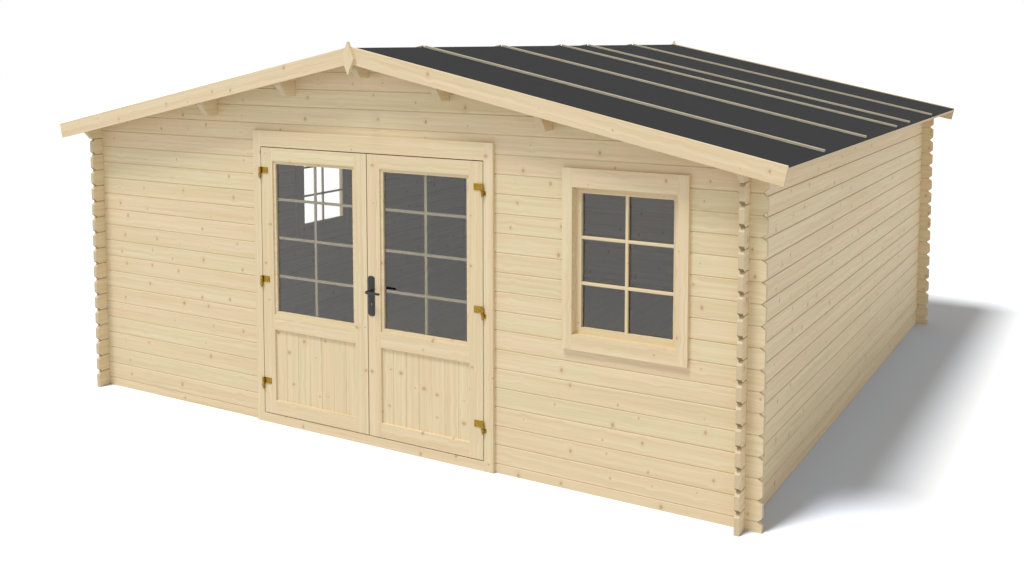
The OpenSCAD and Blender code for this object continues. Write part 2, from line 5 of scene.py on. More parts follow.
import bpy
import numpy as np
from bpy.props import FloatProperty, FloatVectorProperty, IntProperty, PointerProperty
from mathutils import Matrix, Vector


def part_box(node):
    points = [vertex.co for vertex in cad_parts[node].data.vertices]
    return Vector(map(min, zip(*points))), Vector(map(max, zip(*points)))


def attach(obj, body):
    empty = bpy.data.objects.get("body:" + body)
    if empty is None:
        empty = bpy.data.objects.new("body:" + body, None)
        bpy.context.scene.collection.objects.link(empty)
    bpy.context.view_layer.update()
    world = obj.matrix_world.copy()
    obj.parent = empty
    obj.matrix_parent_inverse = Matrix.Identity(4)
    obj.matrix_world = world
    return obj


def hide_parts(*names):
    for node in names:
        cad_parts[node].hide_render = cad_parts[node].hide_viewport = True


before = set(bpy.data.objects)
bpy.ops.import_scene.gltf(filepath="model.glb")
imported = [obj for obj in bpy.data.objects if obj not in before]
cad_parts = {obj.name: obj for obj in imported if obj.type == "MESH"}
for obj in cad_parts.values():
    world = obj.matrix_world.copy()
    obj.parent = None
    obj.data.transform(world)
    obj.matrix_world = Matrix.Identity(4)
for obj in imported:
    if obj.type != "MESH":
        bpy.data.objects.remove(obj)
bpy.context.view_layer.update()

bl_info = {
    "name": "Garden house dressing",
    "version": (1, 0, 0),
    "blender": (4, 5, 0),
    "location": "3D View > Sidebar > Garden house",
    "description": "Timber, roof, glass and ironwork of a log garden house with a two-leaf door",
    "category": "Object",
}

# Sizes of the solids that the boxes of the nodes don't give, in metres
LOG_H = 0.113
ROOF_PITCH = math.radians(12)
ROOF_BOARD_T = 0.018
GLASS_T = 0.004
GLASS_LAP = 0.009
BEAD_BEYOND_GLASS = 0.011
STILE_W = 0.094
SASH_W = 0.036
HINGE_H = 0.038
HINGE_STEP = 0.678
HINGE_PLATE_T = 0.004
LOCK_PLATE_T = 0.004

# Fine detail of the new pieces, in metres
STRIP_SUNK = 0.001
STRIP_FROM_RIDGE = 0.003
WINDOW_BAR_D = 0.018
BAR_CLEAR = 0.0005
BAR_TUCK = 0.002
BAR_OVERLAP = 0.001
SCREW_PLACES = (0.011, 0.036)
SCREW_RISE = 0.0012
SCREW_SLOT = 0.0008
# Radians by which the screws' slots turn for each metre of height
SLOT_TURN = 9.0
KEYHOLE_R = 0.005
KEYHOLE_DROP = 0.05
# How far the lock plate's edge stands in and how deep it lies, from its face outwards
PLATE_EDGE = ((0.002, 0.0), (0.0006, 0.0005), (0.0, 0.0018), (0.0, LOCK_PLATE_T))
SPINDLE_W = 0.009
SPINDLE_HALF = 0.03
NECK_GAP = 0.0006
LEVER_TAPER = 0.18

# Points along the lever's neck, bend and grip, and round the lock plate
NECK_POINTS = 8
ARC_POINTS = 12
GRIP_POINTS = 29
PLATE_POINTS = 96

UP = np.array([0.0, 0.0, 1.0])
OUT_FRONT = np.array([0.0, -1.0, 0.0])
OUT_LEFT = np.array([-1.0, 0.0, 0.0])

# Stage and camera, in metres and radians, with lens and sensor in millimetres
FLOOR_HALF = 60.0
# Where the floor's bluer tint beside the right wall, painted against the warm light that the wood throws
# into the shadow there, begins to clear and where it has cleared, across and along
TINT_ACROSS = (2.65, 3.15)
TINT_ALONG = (1.85, 2.5)
CAMERA_PLACE = (4.1220, -7.7352, 2.5152)
CAMERA_TURN = (math.pi / 2 - 0.08032, 0.0, 0.52654)
LENS = 38.582
SENSOR_W = 36.0
SHIFT_Y = -0.15625


def linear(code):
    """Linear colour of an sRGB hex value."""
    s = np.array([int(code[i:i + 2], 16) / 255 for i in (1, 3, 5)])
    return tuple(float(v) for v in np.where(s <= 0.04045, s / 12.92, ((s + 0.055) / 1.055) ** 2.4))


def colour(name, description, code):
    """A colour property, given as an sRGB hex value."""
    return FloatVectorProperty(name=name, description=description, default=linear(code),
                               subtype="COLOR", size=3, min=0.0, max=1.0)


def length(name, description, metres):
    """A length property in metres."""
    return FloatProperty(name=name, description=description, default=metres, min=0.0, unit="LENGTH",
                         precision=4)


class GardenHouseColours(bpy.types.PropertyGroup):
    """Colours of the materials"""
    spruce: colour("Spruce", "Early wood of the planed spruce", "#EDDDBF")
    spruce_late: colour("Late wood", "Darker streaks of the planed spruce", "#DECAA6")
    spruce_sap: colour("Sapwood", "Tint of the yellower wood", "#F7F9EF")
    spruce_blush: colour("Blush", "Tint of the pinker wood", "#FBF5EF")
    knot: colour("Knot", "Heart of a knot", "#9F7D5A")
    knot_halo: colour("Knot halo", "Wood round a knot", "#DBBD97")
    end_grain: colour("End grain", "Sawn ends of logs and boards", "#B1A287")
    # Painted shade, laid in the grooves between logs over the dark line of their gap, and on the cut corners
    # under the logs' ends
    crease_shade: colour("Joint", "Shaded bottom of the groove between two logs", "#7E6C4E")
    # Painted shade on the bars behind the leaves' glass
    bar_shade: colour("Bar wash", "Grey wash on the glazing bars of the leaves", "#A2977F")
    batten: colour("Batten", "Sawn roof battens", "#C9BEA7")
    bearer: colour("Bearer", "Impregnated floor bearers", "#A8946C")
    felt: colour("Felt", "Mineral grit of the roofing felt", "#323232")
    brass: colour("Brass", "Hinges", "#AC8934")
    brass_dull: colour("Dull brass", "Tarnish on the hinges", "#785C23")
    black: colour("Black", "Powder coat of the door furniture", "#222224")
    glass: colour("Glass", "Float glass", "#FDFDFB")


class GardenHouseSizes(bpy.types.PropertyGroup):
    """Sizes of the new pieces"""
    bar_w: length("Bar width", "Width of a glazing bar", 0.018)
    door_bar_d: length("Door bar depth", "Depth of a glazing bar behind the door glass", 0.010)
    door_rows: IntProperty(name="Door rows", description="Rows of panes in a leaf", default=4, min=1)
    window_rows: IntProperty(name="Window rows", description="Rows of panes in a window", default=3, min=1)
    panel_board: length("Panel board", "Board width in the lower door panels", 0.095)
    roof_board: length("Roof board", "Board width of the roof", 0.088)
    floor_board: length("Floor board", "Board width of the floor", 0.113)
    verge_rise: length("Verge rise", "Height of the barge boards' strip over the felt", 0.008)
    groove_w: length("Groove width", "Width of the vee between two boards", 0.007)
    groove_d: length("Groove depth", "Depth of the vee between two boards", 0.004)
    screw_r: length("Screw radius", "Radius of a hinge screw's head", 0.0042)
    plate_r: length("Plate corner", "Corner radius of the lock plates", 0.017)
    lever_r: length("Lever radius", "Radius of the door lever at its spindle", 0.0092)
    lever_bend: length("Lever bend", "Radius of the lever's bend", 0.016)


class GardenHouseLight(bpy.types.PropertyGroup):
    """Light and floor of the stage"""
    sky: FloatProperty(name="Sky", description="Strength of the even sky light", default=0.68, min=0.0)
    sun: FloatProperty(name="Sun", description="Strength of the sun", default=1.9, min=0.0)
    sun_angle: FloatProperty(name="Sun size", description="Angle across the sun, which softens its shadow",
                             default=math.radians(14.5), subtype="ANGLE")
    sun_way: FloatVectorProperty(name="Sun way", description="Direction in which the sun shines",
                                 default=(0.215, 0.44, -1.0), subtype="DIRECTION")
    floor_sun: FloatProperty(name="Floor sun", default=4.2, min=0.0,
                             description="Sun on the floor alone, which deepens its shadow")
    floor: colour("Floor", "Plain pale floor, as it lights the house", "#9F9F9F")
    floor_seen: colour("Seen floor", "The floor as the camera, metal and glass see it", "#BCBDBF")
    floor_near: colour("Near floor", "The seen floor by the right wall, bluer against light off the wood",
                       "#BAC1CD")


def node(tree, kind, inputs=None, **settings):
    """Adds a shader node with its settings; an input is a value or another node's socket."""
    made = tree.nodes.new("ShaderNode" + kind)
    for key, value in settings.items():
        setattr(made, key, value)
    for key, value in (inputs or {}).items():
        if isinstance(value, bpy.types.NodeSocket):
            tree.links.new(value, made.inputs[key])
        else:
            made.inputs[key].default_value = value
    return made


def sums(tree, operation, *values):
    """Result of one operation on numbers."""
    return node(tree, "Math", dict(enumerate(values)), operation=operation).outputs[0]


def vectors(tree, operation, *values):
    """Result of one operation on vectors."""
    return node(tree, "VectorMath", dict(enumerate(values)), operation=operation).outputs[0]


def scaled(tree, vector, share):
    """A vector times a number."""
    return node(tree, "VectorMath", {0: vector, "Scale": share}, operation="SCALE").outputs[0]


def ramp(tree, value, low, high, first=0.0, last=1.0, ease="LINEAR"):
    """Carries a value from the range low to high into the range first to last, and holds it there."""
    limits = {"Value": value, "From Min": low, "From Max": high, "To Min": first, "To Max": last}
    return node(tree, "MapRange", limits, interpolation_type=ease).outputs[0]


def mix(tree, share, under, over, blend="MIX"):
    """One colour over another, by a share."""
    return node(tree, "MixRGB", {0: share, 1: under, 2: over}, blend_type=blend).outputs[0]


def noise(tree, place, scale, detail, rough=0.5):
    """Soft noise; scale says how many swells a metre has."""
    inputs = {"Vector": place, "Scale": scale, "Detail": detail, "Roughness": rough}
    return node(tree, "TexNoise", inputs).outputs[0]


def joined(tree, x, y, z):
    """A vector of three numbers."""
    return node(tree, "CombineXYZ", {0: x, 1: y, 2: z}).outputs[0]


def parted(tree, vector):
    """The three numbers of a vector."""
    return node(tree, "SeparateXYZ", {0: vector}).outputs


def object_place(tree):
    """The point's place in the object's own frame."""
    return node(tree, "TexCoord").outputs["Object"]


def rgba(value, share=1.0):
    """A colour times share, with full alpha."""
    return (*(share * v for v in value), 1.0)


def emptied(owner):
    """The node tree of a material or world, with nothing in it."""
    owner.use_nodes = True
    owner.node_tree.nodes.clear()
    return owner.node_tree


def blank(name, **sockets):
    """A material with one Principled shader; constants go on the shader's own sockets."""
    material = bpy.data.materials.new(name)
    tree = emptied(material)
    shader = node(tree, "BsdfPrincipled", {key.replace("_", " "): value for key, value in sockets.items()})
    node(tree, "OutputMaterial", {"Surface": shader.outputs[0]})
    return material, tree, shader


def surface(tree, shader, shade, rough, height=None, strength=0.0, distance=0.0):
    """Links a shader's colour and roughness, and a bump of a height where there is one."""
    tree.links.new(shade, shader.inputs["Base Color"])
    tree.links.new(rough, shader.inputs["Roughness"])
    if height is not None:
        bump = node(tree, "Bump", {"Strength": strength, "Distance": distance, "Height": height})
        tree.links.new(bump.outputs[0], shader.inputs["Normal"])


def spruce(name, along, across, seed, board=LOG_H, start=0.0, rails=None, slope=0.0, knot_size=0.012,
           every=0.28, crease_shade=0.0, shading=None):
    """Planed spruce: cream early wood with late-wood streaks along the grain, knots that the grain bends
    round, boards that differ a little in tone, and ringed end grain where a face looks along the board.
    along and across are the axes of the grain and of the board's width; board is that width and start
    where the first board begins; rails turns the grain inside a band (axis, middle, half width); slope
    lets the board follow the roof; every is the length of board that may hold a knot, joint how much
    painted shade darkens the grooves between logs, over the dark line of their gap, and the cut corners
    under the logs' ends, and wash how far a grey of painted shade covers the wood."""
    look = bpy.context.scene.house_colours
    material, tree, shader = blank(name, Specular_IOR_Level=0.25)
    axes = parted(tree, object_place(tree))
    deep = axes[3 - along - across]
    wide = axes[across]
    if slope:
        wide = sums(tree, "MULTIPLY_ADD", sums(tree, "ABSOLUTE", axes[along]), slope, wide)
    wide = sums(tree, "SUBTRACT", wide, start)
    grain = joined(tree, axes[along], wide, deep)
    if rails:
        axis, middle, half = rails
        inside = sums(tree, "COMPARE", axes[axis], middle, half)
        grain = mix(tree, inside, grain, joined(tree, wide, axes[along], deep))
    # One knot at most in each length of a board, up to 24 mm long and 1.3 times as wide; the seed moves
    # the knots of each material, and depth never starts a new length
    lot = vectors(tree, "DIVIDE", grain, (every, board, 1000.0))
    lot = vectors(tree, "ADD", lot, (0.37 * seed, 0.0, seed + 0.5))
    cell = vectors(tree, "FLOOR", lot)
    dice = node(tree, "TexWhiteNoise", {"Vector": cell}, noise_dimensions="3D").outputs["Color"]
    spot = vectors(tree, "MULTIPLY_ADD", dice, (0.6, 0.6, 0.0), (0.2, 0.2, 0.0))
    away = vectors(tree, "SUBTRACT", vectors(tree, "SUBTRACT", lot, cell), spot)
    away = vectors(tree, "MULTIPLY", away, (every, board / 1.3, 0.0))
    reach = node(tree, "VectorMath", {0: away}, operation="LENGTH").outputs["Value"]
    chance = node(tree, "SeparateColor", {0: dice}).outputs[2]
    size = ramp(tree, chance, 0.32, 1.0, 0.0002, knot_size)
    ratio = sums(tree, "DIVIDE", reach, size)
    heart = ramp(tree, ratio, 0.2, 1.3, 0.58, 0.0, "SMOOTHSTEP")
    halo = ramp(tree, ratio, 0.8, 2.8, 0.45, 0.0, "SMOOTHSTEP")
    # The grain gives way round a knot for about 60 mm
    pull = ramp(tree, reach, 0.0, 0.06, 0.7, 0.0, "SMOOTHSTEP")
    bent = vectors(tree, "SUBTRACT", grain, scaled(tree, away, pull))
    row = vectors(tree, "MULTIPLY_ADD", cell, (0.0, 1.0, 1.0), (1.0, 0.0, 0.0))
    own = node(tree, "TexWhiteNoise", {"Vector": row}, noise_dimensions="3D").outputs
    shift = scaled(tree, own["Color"], 40.0)
    # Bands of 22 mm and streaks of 5 mm; true rings of 2 mm are too fine to show at this size
    bands = noise(tree, vectors(tree, "MULTIPLY_ADD", bent, (0.7, 45.0, 45.0), shift), 1.0, 2.0)
    fine = noise(tree, vectors(tree, "MULTIPLY_ADD", bent, (2.5, 200.0, 200.0), shift), 1.0, 2.0)
    late = sums(tree, "MULTIPLY_ADD", fine, 0.4, sums(tree, "MULTIPLY", bands, 0.6))
    wood = mix(tree, ramp(tree, late, 0.36, 0.68), rgba(look.spruce), rgba(look.spruce_late))
    # A board's tint is its own and drifts within 300 mm along it and 60 mm across
    drift = noise(tree, vectors(tree, "MULTIPLY_ADD", bent, (3.3, 16.0, 16.0), shift), 1.0, 2.0)
    tone = ramp(tree, sums(tree, "MULTIPLY_ADD", own["Value"], 0.38, drift), 0.42, 0.96)
    tint = mix(tree, tone, rgba(look.spruce_sap), rgba(look.spruce_blush))
    wood = mix(tree, 1.0, wood, tint, "MULTIPLY")
    wood = mix(tree, halo, wood, rgba(look.knot_halo))
    wood = mix(tree, heart, wood, rgba(look.knot))
    if crease_shade:
        # Painted shade in the groove, over the dark line of the gap itself: darkest over the middle 3 mm,
        # clearing within 9 mm
        edge = sums(tree, "PINGPONG", parted(tree, lot)[1], 0.5)
        edge = ramp(tree, edge, 0.0015 / board, 0.0045 / board, crease_shade, 0.0, "SMOOTHSTEP")
        wood = mix(tree, edge, wood, rgba(look.crease_shade))
    # Painted shade: a grey laid over the wood, as on bars standing in shade behind glass
    if shading:
        wood = mix(tree, 0.85, wood, rgba(shading))
    normal = parted(tree, node(tree, "NewGeometry").outputs["Normal"])
    if not rails:
        # Rings of 6 mm on the sawn ends
        pith = vectors(tree, "MULTIPLY", grain, (0.0, 1.0, 1.0))
        rings = node(tree, "TexWave", {"Vector": pith, "Scale": 52.0, "Distortion": 1.5, "Detail": 1.0},
                     wave_type="RINGS", rings_direction="X").outputs[1]
        ends = mix(tree, rings, rgba(look.end_grain), rgba(look.spruce_late))
        sawn = ramp(tree, sums(tree, "ABSOLUTE", normal[along]), 0.55, 0.65, 0.0, 0.85)
        wood = mix(tree, sawn, wood, ends)
    if crease_shade:
        # Painted shade on the cut corner under a log's end, which looks down more steeply than any other
        # face
        under = ramp(tree, normal[2], -0.78, -0.74, 0.8, 0.0)
        wood = mix(tree, under, wood, rgba(look.crease_shade))
    surface(tree, shader, wood, ramp(tree, fine, 0.0, 1.0, 0.52, 0.72), fine, 0.2, 0.0006)
    return material


def sawn_timber(name, shade, along, across):
    """Rough-sawn softwood: a greyer, duller face with saw-torn streaks along the grain."""
    material, tree, shader = blank(name, Specular_IOR_Level=0.2)
    place = object_place(tree)
    axes = parted(tree, place)
    # Streaks of 6 mm by 200 mm and blotches of 170 mm
    streak = joined(tree, axes[along], axes[across], axes[3 - along - across])
    streak = noise(tree, vectors(tree, "MULTIPLY", streak, (5.0, 160.0, 160.0)), 1.0, 3.0)
    blotch = noise(tree, place, 6.0, 3.0)
    wood = mix(tree, ramp(tree, streak, 0.35, 0.7, 0.0, 0.75), rgba(shade), rgba(shade, 0.66))
    wood = mix(tree, ramp(tree, blotch, 0.4, 0.7, 0.0, 0.3), wood, rgba(shade, 0.8))
    surface(tree, shader, wood, ramp(tree, streak, 0.0, 1.0, 0.75, 0.92), streak, 0.5, 0.0012)
    return material


def roofing_felt():
    """Bitumen felt with rolled-in mineral grit: matt charcoal that sparkles faintly, with paler and darker
    drifts of grit. Grit of 1 mm is too fine to show and is drawn at 5 mm."""
    felt = bpy.context.scene.house_colours.felt
    material, tree, shader = blank("Bitumen felt, mineral grit", Specular_IOR_Level=0.05)
    place = object_place(tree)
    grit = noise(tree, place, 200.0, 2.0, 0.7)
    drift = noise(tree, place, 1.8, 4.0)
    shade = mix(tree, ramp(tree, grit, 0.3, 0.7), rgba(felt, 0.7), rgba(felt, 1.35))
    shade = mix(tree, ramp(tree, drift, 0.3, 0.7, 0.0, 0.4), shade, rgba(felt))
    surface(tree, shader, shade, ramp(tree, grit, 0.0, 1.0, 0.8, 0.98), grit, 0.35, 0.0015)
    return material


def pressed_brass():
    """Pressed brass: warm yellow metal with brown tarnish in patches of about 10 mm."""
    look = bpy.context.scene.house_colours
    material, tree, shader = blank("Brass, pressed", Metallic=1.0)
    patch = noise(tree, object_place(tree), 110.0, 3.0)
    shade = mix(tree, ramp(tree, patch, 0.42, 0.68), rgba(look.brass), rgba(look.brass_dull))
    surface(tree, shader, shade, ramp(tree, patch, 0.0, 1.0, 0.22, 0.48))
    return material


def powder_coat():
    """Black powder coat on cast metal: soft gloss with a fine orange-peel skin, drawn at 3 mm to show."""
    black = bpy.context.scene.house_colours.black
    material, tree, shader = blank("Black powder coat", IOR=1.5)
    place = object_place(tree)
    peel = noise(tree, place, 330.0, 1.0)
    rub = noise(tree, place, 40.0, 3.0)
    shade = mix(tree, ramp(tree, rub, 0.45, 0.75), rgba(black), rgba(black, 1.6))
    surface(tree, shader, shade, ramp(tree, rub, 0.0, 1.0, 0.32, 0.5), peel, 0.15, 0.0004)
    return material


def float_glass():
    """Float glass: clear and smooth, with a breath of haze that follows the faint draw of the sheet."""
    glass = bpy.context.scene.house_colours.glass
    material, tree, shader = blank("Float glass", IOR=1.5, Transmission_Weight=0.995)
    haze = noise(tree, object_place(tree), 3.0, 2.0)
    tint = mix(tree, haze, rgba(glass), rgba(glass, 0.97))
    surface(tree, shader, tint, ramp(tree, haze, 0.0, 1.0, 0.0, 0.01))
    return material


def seen_apart(tree, output, lighting, shown):
    """Ends a tree in two shaders: shown for the rays of the camera and those that metal and glass send on,
    lighting for the light between surfaces."""
    path = node(tree, "LightPath").outputs
    seen = sums(tree, "MAXIMUM", path["Is Camera Ray"], path["Is Glossy Ray"])
    seen = sums(tree, "MAXIMUM", seen, path["Is Transmission Ray"])
    mixed = node(tree, "MixShader", {0: seen, 1: lighting.outputs[0], 2: shown.outputs[0]})
    node(tree, output, {"Surface": mixed.outputs[0]})


def dress(material, *names):
    """Gives CAD nodes a material in their own slots."""
    for name in names:
        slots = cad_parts[name].material_slots
        for slot in slots:
            slot.material = material
        if not slots:
            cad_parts[name].data.materials.append(material)


def rounded(width, depth, power, count):
    """Rounded rectangle: the cosine and sine of an angle, raised to 2 / power, times half the width and
    depth."""
    turn = np.linspace(0, 2 * np.pi, count, endpoint=False) + np.pi / count
    c, s = np.cos(turn), np.sin(turn)
    return np.stack([np.sign(c) * np.abs(c) ** (2 / power) * width / 2,
                     np.sign(s) * np.abs(s) ** (2 / power) * depth / 2], 1)


def loft(rings, wrap=False):
    """Skin over a row of closed rings: ring i, point j joins its next point and the next ring. The first
    and last rings get flat caps, or join each other where the skin wraps."""
    n, k = rings.shape[:2]
    i = np.arange(n if wrap else n - 1)[:, None] * k
    j = np.arange(k)[None]
    after, beside = (i + k) % (n * k), (j + 1) % k
    quads = np.stack([i + j, i + beside, after + beside, after + j], -1).reshape(-1, 4)
    caps = [] if wrap else [np.arange(k)[::-1], np.arange((n - 1) * k, n * k)]
    return rings.reshape(-1, 3), quads, caps


def sweep(profile, path, face, scale=None):
    """Carries a closed profile along a path: the profile's second number goes along face, and its first
    along the cross product of face and the path's direction, both times scale."""
    path, face = np.asarray(path, float), np.asarray(face, float)
    way = np.gradient(path, axis=0)
    way /= np.linalg.norm(way, axis=1)[:, None]
    face = np.broadcast_to(face, path.shape)
    side = np.cross(face, way)
    size = np.ones(len(path)) if scale is None else np.asarray(scale)
    p = profile[None] * size[:, None, None]
    return loft(path[:, None] + p[..., :1] * side[:, None] + p[..., 1:] * face[:, None])


def piece(name, skins, material, body, replaced=(), smooth=None):
    """One mesh object from a list of skins, at the origin, on its body."""
    points, faces, base = [], [], 0
    for skin_points, quads, caps in skins:
        points.append(skin_points)
        faces += (quads + base).tolist() + [(cap + base).tolist() for cap in caps]
        base += len(skin_points)
    mesh = bpy.data.meshes.new(name)
    mesh.from_pydata(np.concatenate(points).tolist(), [], faces)
    if mesh.validate():
        raise RuntimeError(f"the mesh of {name} had faults")
    if smooth:
        mesh.shade_smooth()
        mesh.set_sharp_from_angle(angle=math.radians(smooth))
    mesh.materials.append(material)
    made = bpy.data.objects.new(name, mesh)
    bpy.context.scene.collection.objects.link(made)
    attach(made, body)
    if replaced:
        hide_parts(*replaced)
    return made


def vee_row(low, high, board, width, depth):
    """Edge line of a row of boards, flat at zero and down to depth in a vee where two boards meet: places
    along the row, depths there, and the width that one board comes to."""
    count = max(1, round((high - low) / board))
    joints = low + (high - low) * np.arange(1, count) / count
    place = (joints[:, None] + np.array([-width / 2, 0.0, width / 2])).reshape(-1)
    fall = np.tile([0.0, depth, 0.0], count - 1)
    places, depths = np.concatenate([[low], place, [high]]), np.concatenate([[0.0], fall, [0.0]])
    return places, depths, (high - low) / count


def bars_over(glass, rows, beyond, outward, near, deep, width):
    """Glazing bars over a pane: one upright in the middle and level bars between rows, each a rounded
    section carried along a line; near is the distance of their middle line from the pane's middle."""
    low, high = (np.array(corner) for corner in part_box(glass))
    middle = (low + high) / 2 + outward * near
    level = np.abs(np.cross(outward, UP))
    half_w = (high - low) @ level / 2 - GLASS_LAP + BAR_TUCK
    half_h = (high - low)[2] / 2 - GLASS_LAP + BAR_TUCK
    section = rounded(width, deep, power=6, count=20)
    skins = [sweep(section, [middle - UP * half_h, middle + UP * half_h], outward)]
    pitch = ((high - low)[2] + 2 * beyond) / rows
    for k in range(1, rows):
        centre = middle + UP * ((k - rows / 2) * pitch)
        for way in (-1, 1):
            ends = [centre + level * way * (width / 2 - BAR_OVERLAP), centre + level * way * half_w]
            skins.append(sweep(section, ends, outward))
    return skins, middle


class HOUSE_OT_log_walls(bpy.types.Operator):
    """Planed spruce on the logs, each course with its own tone, streaks and knots"""
    bl_idname = "house.log_walls"
    bl_label = "Log walls"

    def execute(self, context):
        half = LOG_H / 2
        walls = (("front_left", 0, half), ("front_right", 0, half), ("front_gable", 0, half),
                 ("rear", 0, half), ("left_wall", 1, 0.0), ("right_wall", 1, 0.0))
        for seed, (wall, along, start) in enumerate(walls, 1):
            # The grooves of the side walls are the darker ones in the photograph
            # The side walls' grooves get the stronger painted shade
            wood = spruce(f"Planed spruce, {wall.replace('_', ' ')}", along, 2, seed, start=start,
                          crease_shade=0.5 if along else 0.1)
            dress(wood, f"{wall}_odd_logs", f"{wall}_even_logs")
        return {"FINISHED"}


class HOUSE_OT_roof_boards(bpy.types.Operator):
    """Matched boards of both slopes, with vees underneath, carried from the ridge to the eave"""
    bl_idname = "house.roof_boards"
    bl_label = "Roof boards"

    def execute(self, context):
        size, thick = context.scene.house_sizes, ROOF_BOARD_T
        c, s = math.cos(ROOF_PITCH), math.sin(ROOF_PITCH)
        for side, way in (("left", -1), ("right", 1)):
            low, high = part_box(f"{side}_roof_boards")
            eave = np.array([way * (max(abs(low.x), abs(high.x)) - thick * s), 0.0, low.z])
            ridge = np.array([0.0, 0.0, high.z - thick / c])
            y, fall, board = vee_row(low.y, high.y, size.roof_board, size.groove_w, size.groove_d)
            under = np.stack([y, fall], 1)
            section = np.concatenate([under, [[high.y, thick], [low.y, thick]]])
            skin = sweep(section, [ridge, eave], [[0.0, 0.0, 1 / c], [way * s, 0.0, c]])
            wood = spruce(f"Planed spruce, {side} roof boards", 0, 1, 10 + way, board, low.y)
            piece(f"{side}_roof_boarding", [skin], wood, "house", [f"{side}_roof_boards"])
        return {"FINISHED"}


class HOUSE_OT_roof_cover(bpy.types.Operator):
    """Grit-faced felt on the slopes and sawn battens over its laps"""
    bl_idname = "house.roof_cover"
    bl_label = "Roof cover"

    def execute(self, context):
        look = context.scene.house_colours
        dress(roofing_felt(), "left_roof_felt", "right_roof_felt")
        dress(sawn_timber("Sawn softwood, roof battens", tuple(look.batten), 0, 1), "felt_battens")
        return {"FINISHED"}


class HOUSE_OT_roof_timber(bpy.types.Operator):
    """Planed spruce on the purlins, barge boards and finials, and a strip along the top of each barge board:
    a rounded section carried from the eave to the ridge"""
    bl_idname = "house.roof_timber"
    bl_label = "Roof timber"

    def execute(self, context):
        purlin_wood = spruce("Planed spruce, purlins", 1, 2, 14, board=0.2)
        dress(purlin_wood, "ridge_purlin", "left_purlins", "right_purlins")
        c, s, slope = math.cos(ROOF_PITCH), math.sin(ROOF_PITCH), math.tan(ROOF_PITCH)
        # One board of the pattern takes in the whole barge board
        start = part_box("front_barge_boards")[1].z - 0.105
        wood = spruce("Planed spruce, barge boards", 0, 2, 40, board=0.115, start=start, slope=slope,
                      every=0.22)
        dress(wood, "front_barge_boards", "rear_barge_boards")
        rise = context.scene.house_sizes.verge_rise
        skins = []
        for gable in ("front", "rear"):
            low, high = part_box(f"{gable}_barge_boards")
            y, thick = (low.y + high.y) / 2, high.y - low.y
            section = rounded(thick, rise + STRIP_SUNK, power=8, count=24)
            reach = high.x - rise * s
            for way in (-1, 1):
                up = np.array([way * s, 0.0, c])
                lift = up * (rise - STRIP_SUNK) / 2
                ridge = np.array([way * STRIP_FROM_RIDGE, y, high.z - STRIP_FROM_RIDGE * slope])
                eave = np.array([way * reach, y, high.z - reach * slope])
                skins.append(sweep(section, [eave + lift, ridge + lift], up))
        piece("verge_strips", skins, wood, "house", smooth=40)
        finial_wood = spruce("Planed spruce, finials", 2, 0, 16, board=0.12, start=-0.06, knot_size=0.001)
        dress(finial_wood, "finials")
        return {"FINISHED"}


class HOUSE_OT_floor(bpy.types.Operator):
    """Floor boards with vees on top, carried from the rear wall to the front, and sawn bearers"""
    bl_idname = "house.floor"
    bl_label = "Floor"

    def execute(self, context):
        size, look = context.scene.house_sizes, context.scene.house_colours
        low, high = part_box("floor_boards")
        x, fall, board = vee_row(low.x, high.x, size.floor_board, size.groove_w / 2, size.groove_d / 2)
        top = np.stack([x, high.z - fall], 1)[::-1]
        section = np.concatenate([[[low.x, low.z], [high.x, low.z]], top])
        skin = sweep(section, [[0.0, high.y, 0.0], [0.0, low.y, 0.0]], UP)
        wood = spruce("Planed spruce, floor", 1, 0, 17, board, low.x)
        piece("floor_boarding", [skin], wood, "house", ["floor_boards"])
        dress(sawn_timber("Sawn softwood, bearers", tuple(look.bearer), 0, 2), "floor_bearers")
        return {"FINISHED"}


class HOUSE_OT_door_timber(bpy.types.Operator):
    """Planed spruce on the door frame and the leaves, with level grain in the rails"""
    bl_idname = "house.door_timber"
    bl_label = "Door timber"

    def execute(self, context):
        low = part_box("door_head")[0].z
        dress(spruce("Planed spruce, door posts", 2, 0, 20, board=0.2, every=0.3), "door_posts")
        dress(spruce("Planed spruce, door head", 0, 2, 21, board=0.115, start=low, every=0.3), "door_head")
        dress(spruce("Planed spruce, door sill", 0, 2, 22, board=0.08), "door_sill")
        for seed, side in ((23, "left"), (24, "right")):
            low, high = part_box(f"{side}_door_frame")
            middle, half = (low.x + high.x) / 2, (high.x - low.x) / 2 - STILE_W
            wood = spruce(f"Planed spruce, {side} leaf", 2, 0, seed, board=0.1, start=low.x,
                          rails=(0, middle, half), every=0.26)
            dress(wood, f"{side}_door_frame")
        return {"FINISHED"}


class HOUSE_OT_door_panels(bpy.types.Operator):
    """Matched boards in the lower half of each leaf: a row with vees on both faces, carried upright"""
    bl_idname = "house.door_panels"
    bl_label = "Door panels"

    def execute(self, context):
        size = context.scene.house_sizes
        # The panels' vees are finer than the roof's
        groove_w, groove_d = size.groove_w * 0.7, size.groove_d * 0.6
        for seed, side in ((25, "left"), (26, "right")):
            low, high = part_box(f"{side}_door_panel")
            x, fall, board = vee_row(low.x, high.x, size.panel_board, groove_w, groove_d)
            front = np.stack([x, low.y + fall], 1)
            back = np.stack([x, high.y - fall], 1)[::-1]
            section = np.concatenate([front, back])
            skin = sweep(section, [[0.0, 0.0, low.z], [0.0, 0.0, high.z]], -OUT_FRONT)
            wood = spruce(f"Planed spruce, {side} panel", 2, 0, seed, board, low.x, knot_size=0.013,
                          every=0.24)
            piece(f"{side}_panel_boards", [skin], wood, f"{side}_door", [f"{side}_door_panel"])
        return {"FINISHED"}


